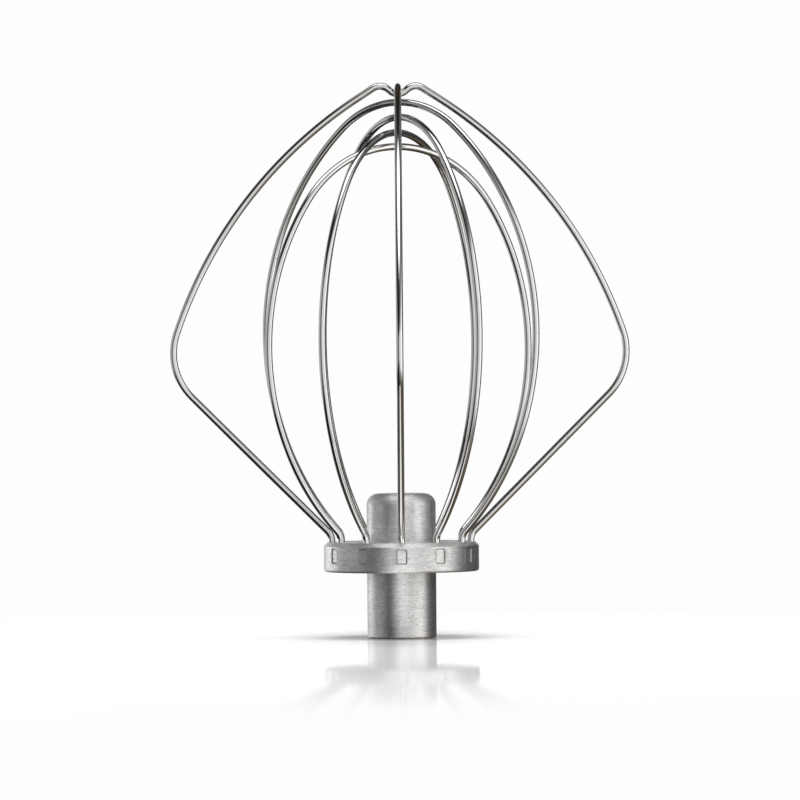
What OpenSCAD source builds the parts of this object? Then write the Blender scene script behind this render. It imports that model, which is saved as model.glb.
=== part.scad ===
// Wire whisk for a stand mixer, standing on the open end of its hub with the wires up.
// Origin: centre of the hub's open end face. +Z: along the hub's axis, towards the wires' tip.
// The six wire loops lie in planes through that axis, 30 degrees apart.

/* [Hub stem] */
// Diameter of the stem
stem_d = 20.4; // [19:0.1:24]
// Height of the stem, from its open end to its closed end
stem_h = 42.6; // [41:0.1:50]
// Radius of the rounded corner at the closed end
cap_r = 3.4; // [0.5:0.1:4]
// Broken edge around the open end
stem_edge = 0.4; // [0.2:0.1:1]

/* [Drive socket] */
// Diameter of the bore that takes the beater shaft
socket_d = 12.9; // [11:0.1:14]
// Depth of the bore's straight wall
socket_depth = 34; // [25:0.5:35]
// Chamfer at the mouth of the bore
socket_chamfer = 0.6; // [0.2:0.1:1]
// Width of the bayonet slot for the shaft's cross pin
slot_w = 5.2; // [3:0.1:5.3]
// Diameter of the pin's seat at the end of the slot
seat_d = 5.5; // [5.4:0.1:6]
// Height of the slot's side leg over the open end, at its middle
slot_rise = 11.5; // [8:0.5:14]
// Angle that the slot's side leg runs round the stem
slot_turn = 55; // [30:1:60]
// Direction of the slot's open leg, seen from the tip, from +X
slot_direction = 90; // [0:5:355]

/* [Wire flange] */
// Diameter of the flange
flange_d = 45.8; // [44:0.1:52]
// Height of the flange's underside over the stem's open end
flange_z = 19.6; // [18:0.1:22]
// Thickness of the flange
flange_t = 8.7; // [8.5:0.1:12]
// Chamfer around the top of the flange
flange_chamfer = 1.1; // [0.3:0.1:1.2]
// Rounded edge around the underside of the flange
flange_round = 0.8; // [0.3:0.1:1.5]

/* [Crimp marks on the rim] */
// Width of a mark
mark_w = 3.15; // [2:0.05:5]
// Height of a mark
mark_h = 4.35; // [3:0.05:4.9]
// Height of the middle of a mark over the middle of the flange
mark_lift = 0.5; // [0:0.05:0.6]
// Corner radius of a mark
mark_corner = 0.7; // [0.2:0.05:0.9]
// Depth of a mark below the rim
mark_depth = 0.3; // [0.15:0.05:0.6]

/* [Wires] */
// Diameter of the wire
wire_d = 2.1; // [1.8:0.05:2.15]
// Diameter of the circle on which the wires stand
feet_d = 41; // [38:0.1:41.2]
// Depth of the holes in the flange
hole_depth = 7; // [4:0.5:8]
// Radius of the bend at the foot of each wire
foot_bend_r = 4.1; // [3:0.1:4.8]

/* [Kite loops] */
// Length of wire that stands straight up over the flange
kite_rise = 0.4; // [0.2:0.1:3]
// Angle that the foot leans outward
kite_foot = 45; // [44.5:0.1:45.1]
// Length of the straight leg
kite_leg = 56.1; // [54:0.1:56.4]
// Radius of the widest corner
kite_corner_r = 18.4; // [17:0.1:19.2]
// Angle that the widest corner turns
kite_corner_turn = 63.9; // [63.8:0.1:65]
// Radius of the slack arc over the corner
kite_side_r = 133.4; // [133:0.1:136]
// Angle that the slack arc turns
kite_side_turn = 38.3; // [38.2:0.1:39]
// Distance of the dipped loop's shoulders from the axis
shoulder_x = 5.3; // [5.3:0.1:5.8]
// Radius of each shoulder
shoulder_r = 3.6; // [3:0.1:3.7]
// Radius at the bottom of the dip
dip_r = 3.6; // [3:0.1:3.7]
// Gap between the two kite loops where they cross
dip_gap = 0.1; // [0.05:0.05:0.15]

/* [Rounded loops] */
// Tall loop: length of wire that stands straight up over the flange
tall_rise = 0.4; // [0.2:0.1:3]
// Tall loop: angle that the foot leans outward
tall_foot = 45.2; // [43:0.1:47]
// Tall loop: radius of the side arc
tall_side_r = 82; // [80:0.1:83]
// Tall loop: angle that the side arc turns
tall_side_turn = 93.1; // [90:0.1:94]
// Upper loop: length of wire that stands straight up over the flange
upper_rise = 0.3; // [0.2:0.1:3]
// Upper loop: angle that the foot leans outward
upper_foot = 45.9; // [43:0.1:47]
// Upper loop: radius of the side arc
upper_side_r = 79.6; // [78:0.1:81]
// Upper loop: angle that the side arc turns
upper_side_turn = 88.4; // [86:0.1:90]
// Lower loop: length of wire that stands straight up over the flange
lower_rise = 0.5; // [0.2:0.1:3]
// Lower loop: angle that the foot leans outward
lower_foot = 45.2; // [43:0.1:47]
// Lower loop: radius of the side arc
lower_side_r = 78.7; // [77:0.1:80]
// Lower loop: angle that the side arc turns
lower_side_turn = 80.9; // [79:0.1:83]
// Short loop: length of wire that stands straight up over the flange
short_rise = 0.6; // [0.2:0.1:3]
// Short loop: angle that the foot leans outward
short_foot = 45.3; // [43:0.1:47]
// Short loop: radius of the side arc
short_side_r = 75.7; // [74:0.1:77]
// Short loop: angle that the side arc turns
short_side_turn = 80.1; // [78:0.1:82]

/* [Hidden] */
$fn = 64;

steel = [0.72, 0.72, 0.71];      // brushed hub
bright = [0.82, 0.82, 0.83];     // polished wire

stem_r = stem_d / 2;
flange_r = flange_d / 2;
flange_top = flange_z + flange_t;
feet = 12;                       // two ends for each of the six loops
foot_step = 360 / feet;
end_gap = 0.2;                   // between a wire's end and the bottom of its hole
hole_clearance = 0.05;           // all round a wire in its hole
seat_clearance = 0.02;           // all round the stem in the flange
drill_point = 118;               // cone angle at the bottom of the bore
past = 1;                        // how far a cutter runs past the face it cuts
band_proud = 0.005;              // of a joint band, all round the wire
band_h = 0.2;                    // of a joint band, along the wire

// Directions of the loops' planes, seen from the tip, from +X
dipped_plane = 0;
arched_plane = 90;
tall_plane = -30;
upper_plane = -60;
lower_plane = 60;
short_plane = 30;

// ---------------------------------------------------------------- wire paths
// A loop's side is a chain of steps in its own plane, from the wire's end in the flange to
// the crown at the tip. A step is [radius, turn]: an arc of that radius that turns the wire
// outward by that many degrees, or inward if the turn is negative. [length, 0] is a straight.
// A place on the path is [distance from the axis, height, lean outward from vertical].

function arc_x(r, turn) = sign(turn) * r * (1 - cos(turn));
function arc_z(r, turn) = r * sin(abs(turn));
function step_x(step) = step[1] == 0 ? 0 : arc_x(step[0], step[1]);
function step_z(step) = step[1] == 0 ? step[0] : arc_z(step[0], step[1]);

function after(step, at) = [
  at[0] + step_x(step) * cos(at[2]) + step_z(step) * sin(at[2]),
  at[1] - step_x(step) * sin(at[2]) + step_z(step) * cos(at[2]),
  at[2] + step[1]
];

function path_end(steps, at, i = 0) =
  i == len(steps) ? at : path_end(steps, after(steps[i], at), i + 1);

// Where every wire starts, just over the bottom of its hole
wire_start = [feet_d / 2, flange_top - hole_depth + end_gap, 0];

function foot_steps(rise, lean) = [
  [hole_depth - end_gap + rise, 0],
  [foot_bend_r, lean]
];

// The crown is one arc over the axis, centred on it, so a loop's sides settle its radius
function crown_step(side) =
  let (at = path_end(side, wire_start))
  [at[0] / abs(cos(at[2])), -90 - at[2]];

// Side of a rounded loop: foot and one side arc
function rounded_side(rise, lean, side_r, side_turn) =
  concat(foot_steps(rise, lean), [[side_r, -side_turn]]);

// What the sides of both kite loops share: foot, straight leg, wide corner and slack arc
kite_side = concat(foot_steps(kite_rise, kite_foot), [
  [kite_leg, 0],
  [kite_corner_r, -kite_corner_turn],
  [kite_side_r, -kite_side_turn]
]);
kite_at = path_end(kite_side, wire_start);
kite_slope = 90 + kite_at[2];    // of the wire above level, where the slack arc ends

// The arched loop goes straight into its crown
tip_z = path_end(concat(kite_side, [crown_step(kite_side)]), wire_start)[1];

// The dipped loop turns down at its shoulders and back to level under the arched loop, where
// its crown has the radius dip_r. Its last straight is tangent to the shoulder and the crown.
shoulder_run = (kite_at[0] - shoulder_r * sin(kite_slope) - shoulder_x) / cos(kite_slope);
shoulder_top = kite_at[1] + shoulder_run * sin(kite_slope) + shoulder_r * (1 - cos(kite_slope));
dip_z = tip_z - wire_d - dip_gap;
dip_radii = shoulder_r + dip_r;
dip_fall = shoulder_top - dip_z - dip_radii;
dip_run = sqrt(pow(shoulder_x, 2) + pow(dip_fall, 2) - pow(dip_radii, 2));
dip_slope = atan2(dip_fall, shoulder_x) + atan2(dip_radii, dip_run);
dipped_side = concat(kite_side, [
  [shoulder_run, 0],
  [shoulder_r, -kite_slope - dip_slope],
  [dip_run, 0]
]);

// One step of wire, starting at the origin and heading along +Z, outward being +X
module wire_step(step) {
  if (step[1] == 0)
    cylinder(d = wire_d, h = step[0]);
  else
    mirror([step[1] < 0 ? 1 : 0, 0, 0])
      translate([step[0], 0, 0])
        rotate([90, 0, 180])
          rotate_extrude(angle = abs(step[1]))
            translate([step[0], 0])
              circle(d = wire_d);
}

// A thin band round the place where two steps meet, which makes them one solid
module joint_band() {
  cylinder(d = wire_d + 2 * band_proud, h = band_h, center = true);
}

// Puts its children at this place on the path, with +Z along the wire
module on_path(at) {
  translate([at[0], 0, at[1]])
    rotate([0, at[2], 0])
      children();
}

module wire_side(side, at, i = 0) {
  if (i < len(side)) {
    next = after(side[i], at);
    on_path(at) wire_step(side[i]);
    on_path(next) joint_band();
    wire_side(side, next, i + 1);
  }
}

// A whole loop, both sides and the crown, in the plane that stands at this direction
module wire_loop(side, plane) {
  crown = crown_step(side);
  color(bright)
    rotate([0, 0, plane]) {
      wire_side(side, wire_start);
      mirror([1, 0, 0]) wire_side(side, wire_start);
      on_path(path_end(side, wire_start)) wire_step([crown[0], 2 * crown[1]]);
    }
}

// ------------------------------------------------------------------ hub stem
// Outline of the solid bar, to be turned round the axis
module stem_outline() {
  polygon([
    [0, 0],
    [stem_r - stem_edge, 0],
    [stem_r, stem_edge],
    [stem_r, stem_h - cap_r],
    [0, stem_h - cap_r]
  ]);
  square([stem_r - cap_r, stem_h]);
  translate([stem_r - cap_r, stem_h - cap_r]) circle(r = cap_r);
}

module socket_cut() {
  translate([0, 0, -past]) cylinder(d = socket_d, h = socket_depth + past);
  translate([0, 0, socket_depth])
    cylinder(d1 = socket_d, d2 = 0, h = socket_d / 2 / tan(drill_point / 2));
  translate([0, 0, -past])
    cylinder(
      r1 = socket_d / 2 + socket_chamfer + past,
      r2 = socket_d / 2,
      h = socket_chamfer + past
    );
}

// J-shaped slot: up from the open end, then round the stem to a round seat for the pin
module bayonet_cut() {
  rotate([0, 0, slot_direction]) {
    translate([0, -slot_w / 2, -past])
      cube([stem_r + past, slot_w, slot_rise + slot_w / 2 + past]);
    translate([0, 0, slot_rise - slot_w / 2])
      rotate_extrude(angle = slot_turn)
        square([stem_r + past, slot_w]);
    translate([0, 0, slot_rise])
      rotate([0, 90, slot_turn])
        cylinder(d = seat_d, h = stem_r + past);
  }
}

module hub_stem() {
  color(steel)
    difference() {
      rotate_extrude() stem_outline();
      socket_cut();
      bayonet_cut();
    }
}

// --------------------------------------------------------------- wire flange
// Outline of the solid disc, to be turned round the axis
module flange_outline() {
  polygon([
    [0, flange_z + flange_round],
    [flange_r, flange_z + flange_round],
    [flange_r, flange_top - flange_chamfer],
    [flange_r - flange_chamfer, flange_top],
    [0, flange_top]
  ]);
  translate([0, flange_z]) square([flange_r - flange_round, flange_t / 2]);
  translate([flange_r - flange_round, flange_z + flange_round]) circle(r = flange_round);
}

module rounded_rectangle(w, h, corner) {
  square([w - 2 * corner, h], center = true);
  square([w, h - 2 * corner], center = true);
  for (x = [-1, 1], y = [-1, 1])
    translate([x * (w / 2 - corner), y * (h / 2 - corner)])
      circle(r = corner);
}

// The recess that a crimping tool leaves on the rim, at the direction +X
module crimp_mark_cut() {
  translate([flange_r - mark_depth, 0, flange_z + flange_t / 2 + mark_lift])
    rotate([0, 90, 0])
      linear_extrude(mark_depth + past)
        rounded_rectangle(mark_h, mark_w, mark_corner);
}

module wire_flange() {
  color(steel)
    difference() {
      rotate_extrude() flange_outline();
      translate([0, 0, flange_z - past])
        cylinder(r = stem_r + seat_clearance, h = flange_t + 2 * past);
      for (i = [0 : feet - 1])
        rotate([0, 0, i * foot_step]) {
          translate([feet_d / 2, 0, flange_top - hole_depth])
            cylinder(d = wire_d + 2 * hole_clearance, h = hole_depth + past);
          crimp_mark_cut();
        }
    }
}

// --------------------------------------------------------------------- wires
module kite_wire_dipped() {
  wire_loop(dipped_side, dipped_plane);
}

module kite_wire_arched() {
  wire_loop(kite_side, arched_plane);
}

module loop_wire_tall() {
  wire_loop(rounded_side(tall_rise, tall_foot, tall_side_r, tall_side_turn), tall_plane);
}

module loop_wire_upper() {
  wire_loop(rounded_side(upper_rise, upper_foot, upper_side_r, upper_side_turn), upper_plane);
}

module loop_wire_lower() {
  wire_loop(rounded_side(lower_rise, lower_foot, lower_side_r, lower_side_turn), lower_plane);
}

module loop_wire_short() {
  wire_loop(rounded_side(short_rise, short_foot, short_side_r, short_side_turn), short_plane);
}

hub_stem();
wire_flange();
kite_wire_dipped();
kite_wire_arched();
loop_wire_tall();
loop_wire_upper();
loop_wire_lower();
loop_wire_short();
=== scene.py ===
"""Wire whisk for a stand mixer, standing on its hub in a white studio.

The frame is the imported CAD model, in metres: the origin is the centre of the hub's open end,
+Z runs up the axis and the camera looks along +Y. The hub stem keeps its CAD mesh. The wires
and the flange are replaced by finer meshes of the same sizes.
"""
import math

import bmesh
import bpy
import numpy as np
from mathutils import Matrix, Vector


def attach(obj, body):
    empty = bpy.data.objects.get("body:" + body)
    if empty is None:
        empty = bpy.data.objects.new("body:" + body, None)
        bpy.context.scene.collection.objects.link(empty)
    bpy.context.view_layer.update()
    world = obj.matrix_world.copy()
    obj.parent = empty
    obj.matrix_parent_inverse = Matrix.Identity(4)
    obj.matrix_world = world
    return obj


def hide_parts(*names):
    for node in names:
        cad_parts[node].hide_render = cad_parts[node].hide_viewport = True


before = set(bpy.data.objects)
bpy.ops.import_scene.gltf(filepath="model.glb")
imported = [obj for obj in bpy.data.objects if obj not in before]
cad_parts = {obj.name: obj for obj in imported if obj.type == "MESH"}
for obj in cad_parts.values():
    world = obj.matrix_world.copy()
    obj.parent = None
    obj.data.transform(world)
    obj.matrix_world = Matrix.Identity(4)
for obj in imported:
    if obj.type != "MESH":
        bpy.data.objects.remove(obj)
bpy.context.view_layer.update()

MM = 0.001

# ---------------------------------------------------------------- sizes of the whisk, in mm
STEM_R = 10.2
FLANGE_R = 22.9
FLANGE_Z = 19.6
FLANGE_TOP = 28.3
FLANGE_CHAMFER = 1.1
FLANGE_ROUND = 0.8
BORE_GAP = 0.02
MARK_W = 3.15
MARK_H = 4.35
MARK_LIFT = 0.5
MARK_CORNER = 0.7
MARK_DEPTH = 0.3
MARK_MIDDLE = (FLANGE_Z + FLANGE_TOP) / 2 + MARK_LIFT
WIRE_R = 1.05
FEET_R = 20.5
FEET = 12
HOLE_DEPTH = 7.0
HOLE_GAP = 0.05
END_GAP = 0.2
FOOT_BEND_R = 4.1


# ------------------------------------------------------------------------------ wire paths
# A step is (radius, turn) for an arc that turns the wire outward by turn degrees, inward if
# it is negative, or (length, 0) for a straight. A place is (distance from the axis, height,
# lean outward from vertical), in the loop's own plane.

WIRE_START = (FEET_R, FLANGE_TOP - HOLE_DEPTH + END_GAP, 0.0)


def after(step, at):
    """The place where a step from this place ends."""
    size, turn = step
    lean = math.radians(at[2])
    if turn == 0:
        out, up = 0.0, size
    else:
        out = math.copysign(size, turn) * (1 - math.cos(math.radians(turn)))
        up = size * math.sin(math.radians(abs(turn)))
    return (
        at[0] + out * math.cos(lean) + up * math.sin(lean),
        at[1] - out * math.sin(lean) + up * math.cos(lean),
        at[2] + turn,
    )


def path_end(steps):
    """The place where these steps from the wire's first end lead to."""
    at = WIRE_START
    for step in steps:
        at = after(step, at)
    return at


def foot_steps(rise, lean):
    """A wire's end in its hole, a rise over the flange, and the bend that leans it out."""
    return [(HOLE_DEPTH - END_GAP + rise, 0), (FOOT_BEND_R, lean)]


def crown_step(side):
    """The arc over the axis, centred on it, that joins a side to its mirror image."""
    at = path_end(side)
    return (at[0] / abs(math.cos(math.radians(at[2]))), 2 * (-90 - at[2]))


def rounded_side(rise, lean, side_r, side_turn):
    """One side of a rounded loop, which is a single arc from the foot to the crown."""
    return foot_steps(rise, lean) + [(side_r, -side_turn)]


# A straight leg, a tight corner and a slack arc
KITE_SIDE = foot_steps(rise=0.4, lean=45) + [(56.1, 0), (18.4, -63.9), (133.4, -38.3)]


def dipped_side():
    """A kite side whose end turns down at a shoulder, to pass under the other kite loop."""
    shoulder_x = 5.3
    shoulder_r = 3.6
    dip_r = 3.6
    dip_gap = 0.1
    at = path_end(KITE_SIDE)
    slope = 90 + at[2]
    angle = math.radians(slope)
    crown_r, crown_turn = crown_step(KITE_SIDE)
    tip_z = path_end(KITE_SIDE + [(crown_r, crown_turn / 2)])[1]
    run = (at[0] - shoulder_r * math.sin(angle) - shoulder_x) / math.cos(angle)
    top = at[1] + run * math.sin(angle) + shoulder_r * (1 - math.cos(angle))
    radii = shoulder_r + dip_r
    fall = top - (tip_z - 2 * WIRE_R - dip_gap) - radii
    dip_run = math.sqrt(shoulder_x ** 2 + fall ** 2 - radii ** 2)
    dip_slope = math.degrees(math.atan2(fall, shoulder_x) + math.atan2(radii, dip_run))
    return KITE_SIDE + [(run, 0), (shoulder_r, -slope - dip_slope), (dip_run, 0)]


def loop_places(side):
    """Places along a whole loop, close together where it bends, each with its distance."""
    longest_mm = 2.0
    widest_degrees = 3.0
    steps = side + [crown_step(side)] + side[::-1]
    at = WIRE_START
    along = 0.0
    places = [(*at, along)]
    for size, turn in steps:
        length = size if turn == 0 else size * math.radians(abs(turn))
        count = max(math.ceil(length / longest_mm), math.ceil(abs(turn) / widest_degrees))
        for i in range(1, count + 1):
            part = (size * i / count, 0) if turn == 0 else (size, turn * i / count)
            places.append((*after(part, at), along + length * i / count))
        at = after((size, turn), at)
        along += length
    return places


# ---------------------------------------------------------------------------------- meshes

def new_object(name, mesh):
    made = bpy.data.objects.new(name, mesh)
    bpy.context.scene.collection.objects.link(made)
    return made


def face_outward(mesh):
    bm = bmesh.new()
    bm.from_mesh(mesh)
    bmesh.ops.recalc_face_normals(bm, faces=bm.faces)
    bm.to_mesh(mesh)
    bm.free()


def wire_rings(places, plane, around):
    """Points round the wire at each of its places, in metres."""
    turn = np.radians(plane)
    radial = np.array([np.cos(turn), np.sin(turn), 0.0])
    across = np.array([-np.sin(turn), np.cos(turn), 0.0])
    up = np.array([0.0, 0.0, 1.0])
    phi = np.linspace(0, 2 * np.pi, around, endpoint=False)
    rings = []
    for out, height, lean, _ in places:
        lean = np.radians(lean)
        normal = radial * np.cos(lean) - up * np.sin(lean)
        centre = radial * out + up * height
        ring = centre + WIRE_R * (np.outer(np.cos(phi), normal) + np.outer(np.sin(phi), across))
        rings.append(ring * MM)
    return np.concatenate(rings)


def wire_mesh(name, side, plane):
    """A round wire swept along a loop whose plane stands at this angle from +X.

    Its UV map holds the share of a turn round the wire and the metres along it.
    """
    around = 32
    places = loop_places(side)
    points = wire_rings(places, plane, around)
    faces = []
    uvs = []
    for i in range(len(places) - 1):
        v0, v1 = places[i][3] * MM, places[i + 1][3] * MM
        for j in range(around):
            k = (j + 1) % around
            a, b = i * around, (i + 1) * around
            faces.append((a + j, a + k, b + k, b + j))
            u0, u1 = j / around, (j + 1) / around
            uvs += [(u0, v0), (u1, v0), (u1, v1), (u0, v1)]
    last = (len(places) - 1) * around
    ends = (
        (range(around - 1, -1, -1), 0.0),
        (range(last, last + around), places[-1][3] * MM),
    )
    for cap, v in ends:
        faces.append(tuple(cap))
        uvs += [(i % around / around, v) for i in cap]
    mesh = bpy.data.meshes.new(name)
    mesh.from_pydata(points.tolist(), [], faces)
    layer = mesh.uv_layers.new(name="wire")
    layer.data.foreach_set("uv", np.array(uvs, dtype=np.float32).ravel())
    mesh.polygons.foreach_set("use_smooth", [True] * len(mesh.polygons))
    mesh.polygons[-1].use_smooth = False
    mesh.polygons[-2].use_smooth = False
    mesh.update()
    face_outward(mesh)
    return mesh


def rounded_corner(before, corner, beyond, radius, count):
    """Points of the arc that rounds one corner of an outline."""
    corner = Vector(corner)
    back = (Vector(before) - corner).normalized()
    on = (Vector(beyond) - corner).normalized()
    half = back.angle(on) / 2
    centre = corner + (back + on).normalized() * (radius / math.sin(half))
    first = corner + back * (radius / math.tan(half)) - centre
    sweep = (math.pi - 2 * half) * math.copysign(1, back.x * on.y - back.y * on.x)
    points = []
    for i in range(count + 1):
        angle = -sweep * i / count
        turned = Matrix.Rotation(angle, 2) @ first
        points.append(tuple(centre + turned))
    return points


def mark_samples(half_size, reach):
    """Distances from a mark's middle, close together near its edge."""
    fine = 0.065
    coarse_steps = 4
    fine_inside = 0.1
    fine_outside = 0.25
    inner = half_size - MARK_CORNER - fine_inside
    outer = half_size + fine_outside
    steps = [inner * i / coarse_steps for i in range(coarse_steps)]
    steps += list(np.arange(inner, outer, fine))
    steps += list(np.linspace(outer, reach, coarse_steps + 1))
    return steps


def mark_cover(w, h):
    """How far a point on the rim lies outside a mark's rounded outline, in mm."""
    dx = abs(w) - (MARK_W / 2 - MARK_CORNER)
    dy = abs(h) - (MARK_H / 2 - MARK_CORNER)
    outside = math.hypot(max(dx, 0.0), max(dy, 0.0))
    return outside + min(max(dx, dy), 0.0) - MARK_CORNER


def bell(value, middle, spread):
    """A smooth bump of height 1."""
    return math.exp(-((value - middle) / spread) ** 2)


def rim_radius(w, h):
    """Radius of the rim at a distance w round it and h up from the nearest mark's middle.

    The mark's floor is flat, with a moat pressed round it and a lip raised outside its wall.
    """
    wall = 0.07
    moat = 0.06
    moat_at = -0.2
    moat_spread = 0.14
    lip = 0.02
    lip_at = 0.16
    lip_spread = 0.1
    reach = 0.6
    away = mark_cover(w, h)
    if away > reach:
        return FLANGE_R
    t = min(max((away + wall) / (2 * wall), 0.0), 1.0)
    t = t * t * (3 - 2 * t)
    floor = (FLANGE_R - MARK_DEPTH) / math.cos(w / FLANGE_R)
    floor -= moat * bell(away, moat_at, moat_spread)
    raised = lip * bell(away, lip_at, lip_spread)
    return floor + (FLANGE_R + raised - floor) * t


def groove_shade(w, h):
    """How much painted shade and dirt darken the corner round a mark's floor, from 0 to 1."""
    darkest = -0.08
    spread = 0.16
    return bell(mark_cover(w, h), darkest, spread)


def flange_profile():
    """The flange's section as (radius, height) points, and which of them lie on the rim."""
    bore = STEM_R + BORE_GAP
    edge = 0.12
    chamfer_edge = 0.18
    across_face = (13.0, 16.0, 18.5, 20.5)
    corners = [
        (bore, FLANGE_Z),
        (FLANGE_R, FLANGE_Z),
        (FLANGE_R, FLANGE_TOP - FLANGE_CHAMFER),
        (FLANGE_R - FLANGE_CHAMFER, FLANGE_TOP),
        (bore, FLANGE_TOP),
    ]
    radii = [edge, FLANGE_ROUND, chamfer_edge, chamfer_edge, edge]
    counts = [3, 8, 4, 4, 3]
    arcs = []
    for i, corner in enumerate(corners):
        beyond = corners[(i + 1) % len(corners)]
        arcs.append(rounded_corner(corners[i - 1], corner, beyond, radii[i], counts[i]))
    low = arcs[1][-1][1] - MARK_MIDDLE
    high = arcs[2][0][1] - MARK_MIDDLE
    rows = [-h for h in reversed(mark_samples(MARK_H / 2, -low))][1:]
    rows += mark_samples(MARK_H / 2, high)[1:-1]
    profile = arcs[0]
    profile += [(r, FLANGE_Z) for r in across_face]
    profile += arcs[1]
    rim_from = len(profile)
    profile += [(FLANGE_R, MARK_MIDDLE + h) for h in rows]
    rim = range(rim_from, len(profile))
    profile += arcs[2] + arcs[3]
    profile += [(r, FLANGE_TOP) for r in reversed(across_face)]
    profile += arcs[4]
    return profile, rim


def flange_mesh(name):
    """The flange turned on a lathe, with the crimp marks pressed into its rim."""
    profile, rim = flange_profile()
    sector = 2 * math.pi / FEET
    half = mark_samples(MARK_W / 2, FLANGE_R * sector / 2)
    offsets = [-w for w in reversed(half)][:-1] + half[:-1]
    columns = [(i * sector + w / FLANGE_R, w) for i in range(FEET) for w in offsets]

    points = []
    shades = []
    for angle, w in columns:
        c, s = math.cos(angle), math.sin(angle)
        for j, (r, z) in enumerate(profile):
            if j in rim:
                r = rim_radius(w, z - MARK_MIDDLE)
            points.append((r * c * MM, r * s * MM, z * MM))
            shades.append(groove_shade(w, z - MARK_MIDDLE) if j in rim else 0.0)
    n, m = len(columns), len(profile)
    faces = []
    for i in range(n):
        a, b = i * m, (i + 1) % n * m
        for j in range(m):
            k = (j + 1) % m
            faces.append((a + j, b + j, b + k, a + k))
    mesh = bpy.data.meshes.new(name)
    mesh.from_pydata(points, [], faces)
    # The groove attribute holds the painted shade and dirt in the corner round each crimp mark
    mesh.attributes.new("groove", "FLOAT", "POINT").data.foreach_set("value", shades)
    face_outward(mesh)
    return mesh


def wire_hole_cutters():
    """Twelve plugs, each the shape of a wire's hole with its broken edge."""
    bm = bmesh.new()
    hole = WIRE_R + HOLE_GAP
    broken = 0.15
    past = 0.5
    around = 40
    outline = [
        (hole, FLANGE_TOP - HOLE_DEPTH),
        (hole, FLANGE_TOP - broken),
        (hole + broken + past, FLANGE_TOP + past),
    ]
    for foot in range(FEET):
        turn = 2 * math.pi * foot / FEET
        cx, cy = FEET_R * math.cos(turn), FEET_R * math.sin(turn)
        rings = []
        for r, z in outline:
            ring = []
            for i in range(around):
                a = 2 * math.pi * i / around
                at = ((cx + r * math.cos(a)) * MM, (cy + r * math.sin(a)) * MM, z * MM)
                ring.append(bm.verts.new(at))
            rings.append(ring)
        for lower, upper in zip(rings, rings[1:]):
            for i in range(around):
                k = (i + 1) % around
                bm.faces.new((lower[i], lower[k], upper[k], upper[i]))
        bm.faces.new(rings[0][::-1])
        bm.faces.new(rings[-1])
    bmesh.ops.recalc_face_normals(bm, faces=bm.faces)
    mesh = bpy.data.meshes.new("wire_hole_cutters")
    bm.to_mesh(mesh)
    bm.free()
    return mesh


def cut(made, cutter_mesh):
    """Cuts a mesh out of an object, and leaves no modifier or cutter behind."""
    cutter = new_object("cutter", cutter_mesh)
    modifier = made.modifiers.new("cut", "BOOLEAN")
    modifier.operation = "DIFFERENCE"
    modifier.solver = "EXACT"
    modifier.object = cutter
    graph = bpy.context.evaluated_depsgraph_get()
    result = bpy.data.meshes.new_from_object(made.evaluated_get(graph))
    made.modifiers.clear()
    old = made.data
    made.data = result
    result.name = old.name
    bpy.data.meshes.remove(old)
    bpy.data.objects.remove(cutter)
    bpy.data.meshes.remove(cutter_mesh)


def smooth_below(mesh, degrees):
    """Smooth shading, with an edge left sharp where its faces meet at a wider angle."""
    bm = bmesh.new()
    bm.from_mesh(mesh)
    limit = math.radians(degrees)
    for face in bm.faces:
        face.smooth = True
    for edge in bm.edges:
        edge.smooth = len(edge.link_faces) == 2 and edge.calc_face_angle(0.0) < limit
    bm.to_mesh(mesh)
    bm.free()


# ------------------------------------------------------------------------------- materials

class Nodes:
    """Adds nodes to a tree. Every call but add gives back the new node's result socket."""

    def __init__(self, tree):
        self.tree = tree
        tree.nodes.clear()

    def add(self, kind, inputs=None, **settings):
        made = self.tree.nodes.new(kind)
        for key, value in settings.items():
            setattr(made, key, value)
        for key, value in (inputs or {}).items():
            socket = made.inputs[key]
            if isinstance(value, bpy.types.NodeSocket):
                self.tree.links.new(value, socket)
            else:
                socket.default_value = value
        return made

    def math(self, operation, *values):
        inputs = dict(enumerate(values))
        return self.add("ShaderNodeMath", inputs, operation=operation).outputs[0]

    def plus(self, first, second):
        return self.math("ADD", first, second)

    def times(self, first, second):
        return self.math("MULTIPLY", first, second)

    def noise(self, vector, scale, detail, roughness):
        inputs = {"Vector": vector, "Scale": scale, "Detail": detail, "Roughness": roughness}
        return self.add("ShaderNodeTexNoise", inputs).outputs[0]

    def length(self, vector):
        return self.add("ShaderNodeVectorMath", {0: vector}, operation="LENGTH").outputs["Value"]

    def remap(self, value, low, high, to_low=0.0, to_high=1.0, kind="LINEAR"):
        inputs = {0: value, 1: low, 2: high, 3: to_low, 4: to_high}
        return self.add("ShaderNodeMapRange", inputs, interpolation_type=kind).outputs[0]

    def smooth(self, value, low, high, to_low=0.0, to_high=1.0):
        return self.remap(value, low, high, to_low, to_high, "SMOOTHSTEP")

    def xyz(self, x, y, z):
        return self.add("ShaderNodeCombineXYZ", {0: x, 1: y, 2: z}).outputs[0]

    def mix(self, factor, first, second):
        made = self.add("ShaderNodeMix", data_type="RGBA")
        for index, value in ((0, factor), (6, first), (7, second)):
            if isinstance(value, bpy.types.NodeSocket):
                self.tree.links.new(value, made.inputs[index])
            else:
                made.inputs[index].default_value = value
        return made.outputs[2]

    def bump(self, strength, height):
        inputs = {"Strength": strength, "Distance": 0.02 * MM, "Height": height}
        return self.add("ShaderNodeBump", inputs).outputs[0]

    def ramp(self, value, stops):
        made = self.add("ShaderNodeValToRGB", {0: value})
        ramp = made.color_ramp
        while len(ramp.elements) > 1:
            ramp.elements.remove(ramp.elements[-1])
        for i, (at, level) in enumerate(stops):
            stop = ramp.elements[0] if i == 0 else ramp.elements.new(at)
            stop.position = at
            stop.color = (level, level, level, 1.0)
        return made.outputs[0]


def grey(level, warm=0.0):
    """A grey, a little warmer or cooler than neutral."""
    return (level * (1 + warm), level, level * (1 - warm), 1.0)


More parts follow.
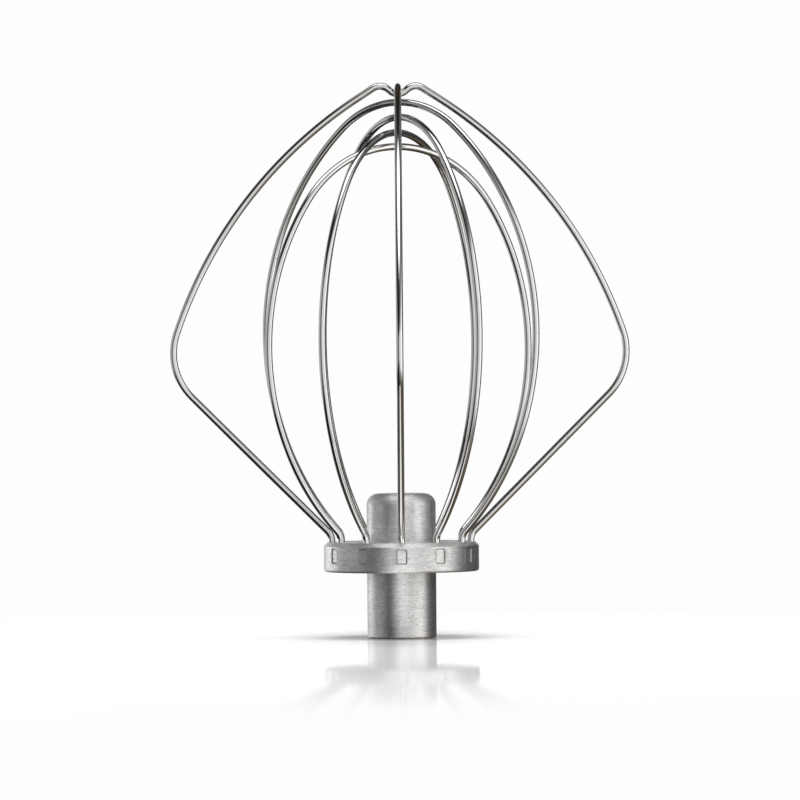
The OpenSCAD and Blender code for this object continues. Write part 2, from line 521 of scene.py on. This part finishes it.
def turned_steel():
    """Stainless bar finished on a lathe: fine rings round the axis, and a satin sheen.

    The rings follow the height on the sides and the radius on the flat faces.
    """
    material = bpy.data.materials.new("turned_steel")
    material.use_nodes = True
    n = Nodes(material.node_tree)
    place = n.add("ShaderNodeTexCoord").outputs["Object"]
    x, y, z = n.add("ShaderNodeSeparateXYZ", {0: place}).outputs
    radius = n.math("SQRT", n.plus(n.times(x, x), n.times(y, y)))
    level = n.math("SUBTRACT", z, radius)

    def rings(along, across):
        """Noise drawn out into rings, with this many grains to a metre along and across them."""
        vector = n.xyz(
            n.times(x, along),
            n.times(y, along),
            n.times(level, across),
        )
        return n.noise(vector, 1.0, 2.0, 0.6)

    fine = rings(800.0, 5600.0)
    streak = rings(450.0, 2800.0)
    broad = rings(90.0, 700.0)
    grit = n.noise(place, 3000.0, 2.0, 0.65)
    blotch = n.noise(place, 110.0, 3.0, 0.55)
    grain = n.plus(n.times(fine, 0.40), n.times(streak, 0.25))
    grain = n.plus(grain, n.times(grit, 0.35))
    tone = n.plus(n.times(grain, 0.85), n.times(broad, 0.15))
    colour = n.mix(n.remap(tone, 0.40, 0.60), grey(0.50, 0.015), grey(0.88, 0.012))
    colour = n.mix(n.remap(blotch, 0.35, 0.7, 0.0, 0.22), colour, grey(0.58, 0.03))
    # Painted shade, with some dirt, darkens the corner round each crimp mark
    mark_shade_and_dirt = n.add("ShaderNodeAttribute", attribute_name="groove").outputs["Fac"]
    colour = n.mix(n.times(mark_shade_and_dirt, 0.65), colour, grey(0.08, 0.03))
    rough = n.remap(n.plus(grain, n.times(blotch, 0.4)), 0.45, 0.95, 0.52, 0.40)
    bump = n.bump(0.35, grain)
    tangent = n.add("ShaderNodeTangent", direction_type="RADIAL", axis="Z").outputs[0]
    shader = n.add(
        "ShaderNodeBsdfPrincipled",
        {
            "Base Color": colour,
            "Metallic": 0.9,
            "Roughness": rough,
            "Anisotropic": 0.75,
            "Anisotropic Rotation": 0.25,
            "Normal": bump,
            "Tangent": tangent,
        },
    )
    n.add("ShaderNodeOutputMaterial", {0: shader.outputs[0]})
    return material


def polished_wire():
    """Drawn and polished stainless wire: die lines along it, faint stains, small specks."""
    material = bpy.data.materials.new("polished_wire")
    material.use_nodes = True
    n = Nodes(material.node_tree)
    uv = n.add("ShaderNodeUVMap", uv_map="wire").outputs[0]
    share, along, _ = n.add("ShaderNodeSeparateXYZ", {0: uv}).outputs
    turn = n.times(share, 2 * math.pi)
    c, s = n.math("COSINE", turn), n.math("SINE", turn)

    def lines(around, lengthwise):
        """Noise drawn out into lines along the wire."""
        vector = n.xyz(
            n.times(c, around),
            n.times(s, around),
            n.times(along, lengthwise),
        )
        return n.noise(vector, 1.0, 2.0, 0.55)

    place = n.add("ShaderNodeTexCoord").outputs["Object"]
    die = lines(9.0, 45.0)
    wave = lines(1.2, 120.0)
    stain = n.noise(place, 70.0, 3.0, 0.6)
    speck = n.noise(place, 1400.0, 1.0, 0.5)
    colour = n.mix(n.remap(stain, 0.42, 0.68, 0.0, 0.5), grey(0.64, 0.006), grey(0.55, 0.05))
    colour = n.mix(n.remap(die, 0.35, 0.7, 0.0, 0.2), colour, grey(0.74))
    colour = n.mix(n.remap(speck, 0.70, 0.76, 0.0, 0.55), colour, grey(0.22, 0.05))
    worn = n.remap(die, 0.3, 0.7, 0.05, 0.10)
    rough = n.plus(worn, n.remap(speck, 0.68, 0.76, 0.0, 0.25))
    bump = n.bump(0.12, n.plus(n.times(die, 0.5), wave))
    shader = n.add(
        "ShaderNodeBsdfPrincipled",
        {"Base Color": colour, "Metallic": 1.0, "Roughness": rough, "Normal": bump},
    )
    n.add("ShaderNodeOutputMaterial", {0: shader.outputs[0]})
    return material


# ---------------------------------------------------------------------------------- studio

WHITE = 0.985
FLOOR_ALBEDO = 0.705
LOW_BROWN = (0.15, 0.115, 0.06, 1.0)
HIGH_BROWN = (0.07, 0.045, 0.025, 1.0)

# How bright the studio is all round, between its floor and its roof. Each stop is
# (degrees, level): 0 degrees is toward the camera and +90 is to the right of the picture.
RING = [
    (-180, 0.80),
    (-150, 0.72),
    (-118, 0.66),
    (-100, 0.60),
    (-85, 0.58),
    (-72, 0.57),
    (-60, 0.40),
    (-48, 0.12),
    (-38, 0.05),
    (-30, 0.14),
    (-20, 0.62),
    (-8, 1.00),
    (3, 1.05),
    (28, 1.00),
    (42, 1.20),
    (56, 1.60),
    (76, 1.65),
    (90, 0.48),
    (103, 0.06),
    (130, 0.05),
    (155, 0.07),
    (168, 0.20),
    (180, 0.80),
]


def white_table():
    """Matt white paint under a gloss that shows only at a grazing view.

    It has a painted contact shadow close to the whisk, and fades to plain white far from it.
    """
    material = bpy.data.materials.new("white_table")
    material.use_nodes = True
    n = Nodes(material.node_tree)
    place = n.add("ShaderNodeTexCoord").outputs["Object"]
    away = n.length(place)
    x, y, _ = n.add("ShaderNodeSeparateXYZ", {0: place}).outputs
    front = n.times(y, -1.0)

    # The painted contact shadow is an oval, 2.2 times as long from front to back as it is wide
    oval = n.xyz(n.times(x, 2.2), y, 0.0)
    painted_contact_shadow = n.smooth(n.length(oval), 0.03, 0.09, 0.2, 0.0)
    paint = n.mix(painted_contact_shadow, grey(FLOOR_ALBEDO), grey(0.0))
    matt = n.add("ShaderNodeBsdfDiffuse", {"Color": paint}).outputs[0]

    # The gloss leans toward the camera, which makes the mirror image shorter
    lean = math.radians(1.5)
    normal = n.xyz(0.0, -math.sin(lean), math.cos(lean))
    gloss = n.add(
        "ShaderNodeBsdfGlossy",
        {"Color": grey(1.0), "Roughness": 0.06, "Normal": normal},
    ).outputs[0]
    grazing = n.add("ShaderNodeLayerWeight", {"Blend": 0.5}).outputs["Facing"]
    shine = n.smooth(front, 0.005, 0.04, 0.30, 0.55)
    shine = n.times(shine, n.smooth(grazing, 0.84, 0.94))
    near = n.add("ShaderNodeMixShader", {0: shine, 1: matt, 2: gloss}).outputs[0]

    ahead = n.smooth(front, 0.16, 0.50)
    around = n.smooth(n.math("SUBTRACT", away, front), 0.12, 0.45)
    far = n.math("MAXIMUM", ahead, around)
    white = n.add("ShaderNodeEmission", {0: grey(WHITE), 1: 1.0}).outputs[0]
    mixed = n.add("ShaderNodeMixShader", {0: far, 1: near, 2: white}).outputs[0]
    n.add("ShaderNodeOutputMaterial", {0: mixed})
    return material


def studio_floor():
    """A white glossy table, large enough to fill the view."""
    reach = 6.0
    mesh = bpy.data.meshes.new("studio_floor")
    corners = [(-reach, -reach), (reach, -reach), (reach, reach), (-reach, reach)]
    mesh.from_pydata([(x, y, 0.0) for x, y in corners], [], [(0, 1, 2, 3)])
    floor = new_object("studio_floor", mesh)
    floor.visible_glossy = False
    floor.visible_diffuse = False
    mesh.materials.append(white_table())


def studio_level(n):
    """How bright the studio is in each direction, worked out from the metal's reflections."""
    way = n.add("ShaderNodeTexCoord").outputs["Generated"]
    x, y, z = n.add("ShaderNodeSeparateXYZ", {0: way}).outputs
    toward = n.times(y, -1.0)
    azimuth = n.math("DIVIDE", n.math("ARCTAN2", x, toward), 2 * math.pi)
    azimuth = n.plus(azimuth, 0.5)
    ring = n.ramp(azimuth, [(degrees / 360 + 0.5, level) for degrees, level in RING])

    # The ring ends at a floor and a roof, which stand further apart on the right
    floor_right = n.smooth(z, -0.80, -0.35, 0.30, 1.0)
    floor_left = n.smooth(z, -0.42, -0.16, 0.04, 1.0)
    roof_right = n.smooth(z, 0.50, 0.68, 1.0, 0.12)
    roof_left = n.smooth(z, 0.34, 0.55, 1.0, 0.05)
    open_right = n.times(floor_right, roof_right)
    open_left = n.times(floor_left, roof_left)
    right = n.smooth(x, -0.30, -0.02)
    level = n.times(ring, n.mix(right, open_left, open_right))

    # A soft box overhead, dimmer toward the back, and a dark table straight below
    side = n.math("ABSOLUTE", x)
    zenith = n.times(n.smooth(z, 0.76, 0.88), n.smooth(side, 0.44, 0.60, 1.0, 0.0))
    zenith = n.times(zenith, n.smooth(y, -0.05, 0.25, 1.0, 0.2))
    level = n.mix(zenith, level, grey(2.4))
    level = n.mix(n.smooth(z, -0.72, -0.86), level, grey(0.05))

    # Dark flags above and below the backdrop, a little lighter at the sides
    back = n.smooth(y, 0.06, 0.16)
    steep = n.smooth(n.math("ABSOLUTE", z), 0.22, 0.42)
    flag = n.smooth(side, 0.36, 0.58, 0.02, n.remap(z, -0.2, 0.2, 0.08, 0.20))
    level = n.mix(n.times(back, steep), level, flag)

    # Two brown things in the room, low on the right and high at the back
    low_right = n.times(n.smooth(x, 0.22, 0.42), n.smooth(z, -0.40, -0.60))
    level = n.mix(n.times(low_right, 0.8), level, LOW_BROWN)
    high_back = n.times(n.smooth(y, 0.45, 0.60), n.smooth(z, 0.45, 0.60))
    level = n.mix(n.times(high_back, 0.7), level, HIGH_BROWN)

    backdrop = n.smooth(y, 0.955, 0.985)
    return n.mix(backdrop, level, grey(WHITE))


def studio_world():
    """The painted studio lights the whisk. The camera itself sees only white."""
    world = bpy.data.worlds.new("studio")
    bpy.context.scene.world = world
    world.use_nodes = True
    n = Nodes(world.node_tree)
    light = n.add("ShaderNodeBackground", {0: studio_level(n), 1: 1.0}).outputs[0]
    white = n.add("ShaderNodeBackground", {0: grey(WHITE), 1: 1.0}).outputs[0]
    seen = n.add("ShaderNodeLightPath").outputs["Is Camera Ray"]
    mixed = n.add("ShaderNodeMixShader", {0: seen, 1: light, 2: white}).outputs[0]
    n.add("ShaderNodeOutputWorld", {0: mixed})


def place_light(name, place, lamp):
    """Puts a lamp in the studio. It faces down until it is turned."""
    placed = bpy.data.objects.new(name, lamp)
    placed.location = place
    bpy.context.scene.collection.objects.link(placed)
    return placed


def light_card(name, place, level, width, depth):
    """A small white card, as bright as its level, that the camera doesn't see."""
    lamp = bpy.data.lights.new(name, "AREA")
    lamp.shape = "RECTANGLE"
    lamp.size = width
    lamp.size_y = depth
    lamp.energy = level * math.pi * width * depth
    card = place_light(name, place, lamp)
    card.visible_camera = False
    return card


def studio_lights():
    """A soft box high over the table, and two cards close to the hub."""
    softbox = bpy.data.lights.new("top_softbox", "AREA")
    softbox.shape = "DISK"
    softbox.size = 0.8
    softbox.energy = 16.0
    top = place_light("top_softbox", (0.0, 0.0, 1.2), softbox)
    top.visible_glossy = False

    # This one lies on the table in front of the hub and faces up
    strip = light_card("table_strip", (0.0, -0.065, 0.002), 1.15, 0.03, 0.085)
    strip.rotation_euler = (math.pi, 0.0, 0.0)

    # This one stands behind the hub, on the left, and faces it
    height = 0.027
    card = light_card("side_card", (-0.115, 0.07, height), 1.1, 0.09, 0.05)
    facing = Vector((0.0, 0.0, height)) - card.location
    card.rotation_euler = facing.to_track_quat("-Z", "Y").to_euler()


def photo_camera():
    """A long lens a little over the height of the hub, as in a product photograph."""
    spot = Vector((0.0, -2.1008, 0.08347))
    aim = Vector((-0.00006, 0.0, 0.0701))
    roll = math.radians(-0.482)
    data = bpy.data.cameras.new("camera")
    data.sensor_width = 36.0
    data.lens = 320.5
    data.clip_start = 0.05
    data.clip_end = 100.0
    camera = bpy.data.objects.new("camera", data)
    bpy.context.scene.collection.objects.link(camera)
    turn = (aim - spot).to_track_quat("-Z", "Y").to_matrix().to_4x4()
    camera.matrix_world = Matrix.Translation(spot) @ turn @ Matrix.Rotation(roll, 4, "Z")
    bpy.context.scene.camera = camera


# -------------------------------------------------------------------------------- assembly

# One side of each loop, and the angle of its plane from +X in degrees
WIRES = {
    "kite_wire_dipped": (dipped_side(), 0),
    "kite_wire_arched": (KITE_SIDE, 90),
    "loop_wire_tall": (rounded_side(rise=0.4, lean=45.2, side_r=82.0, side_turn=93.1), -30),
    "loop_wire_upper": (rounded_side(rise=0.3, lean=45.9, side_r=79.6, side_turn=88.4), -60),
    "loop_wire_lower": (rounded_side(rise=0.5, lean=45.2, side_r=78.7, side_turn=80.9), 60),
    "loop_wire_short": (rounded_side(rise=0.6, lean=45.3, side_r=75.7, side_turn=80.1), 30),
}


def build_wires(material):
    for node, (side, plane) in WIRES.items():
        name = node.replace("wire", "strand")
        piece = new_object(name, wire_mesh(name, side, plane))
        piece.data.materials.append(material)
        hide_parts(node)
        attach(piece, "root")


def build_flange(material):
    piece = new_object("flange_ring", flange_mesh("flange_ring"))
    cut(piece, wire_hole_cutters())
    smooth_below(piece.data, degrees=40)
    piece.data.materials.clear()
    piece.data.materials.append(material)
    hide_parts("wire_flange")
    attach(piece, "root")


def finish_stem(material):
    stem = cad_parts["hub_stem"]
    for slot in stem.material_slots:
        slot.material = material


hub_finish = turned_steel()
wire_finish = polished_wire()
photo_camera()
studio_floor()
studio_world()
studio_lights()
build_wires(wire_finish)
build_flange(hub_finish)
finish_stem(hub_finish)
bpy.context.scene.view_settings.view_transform = "Standard"
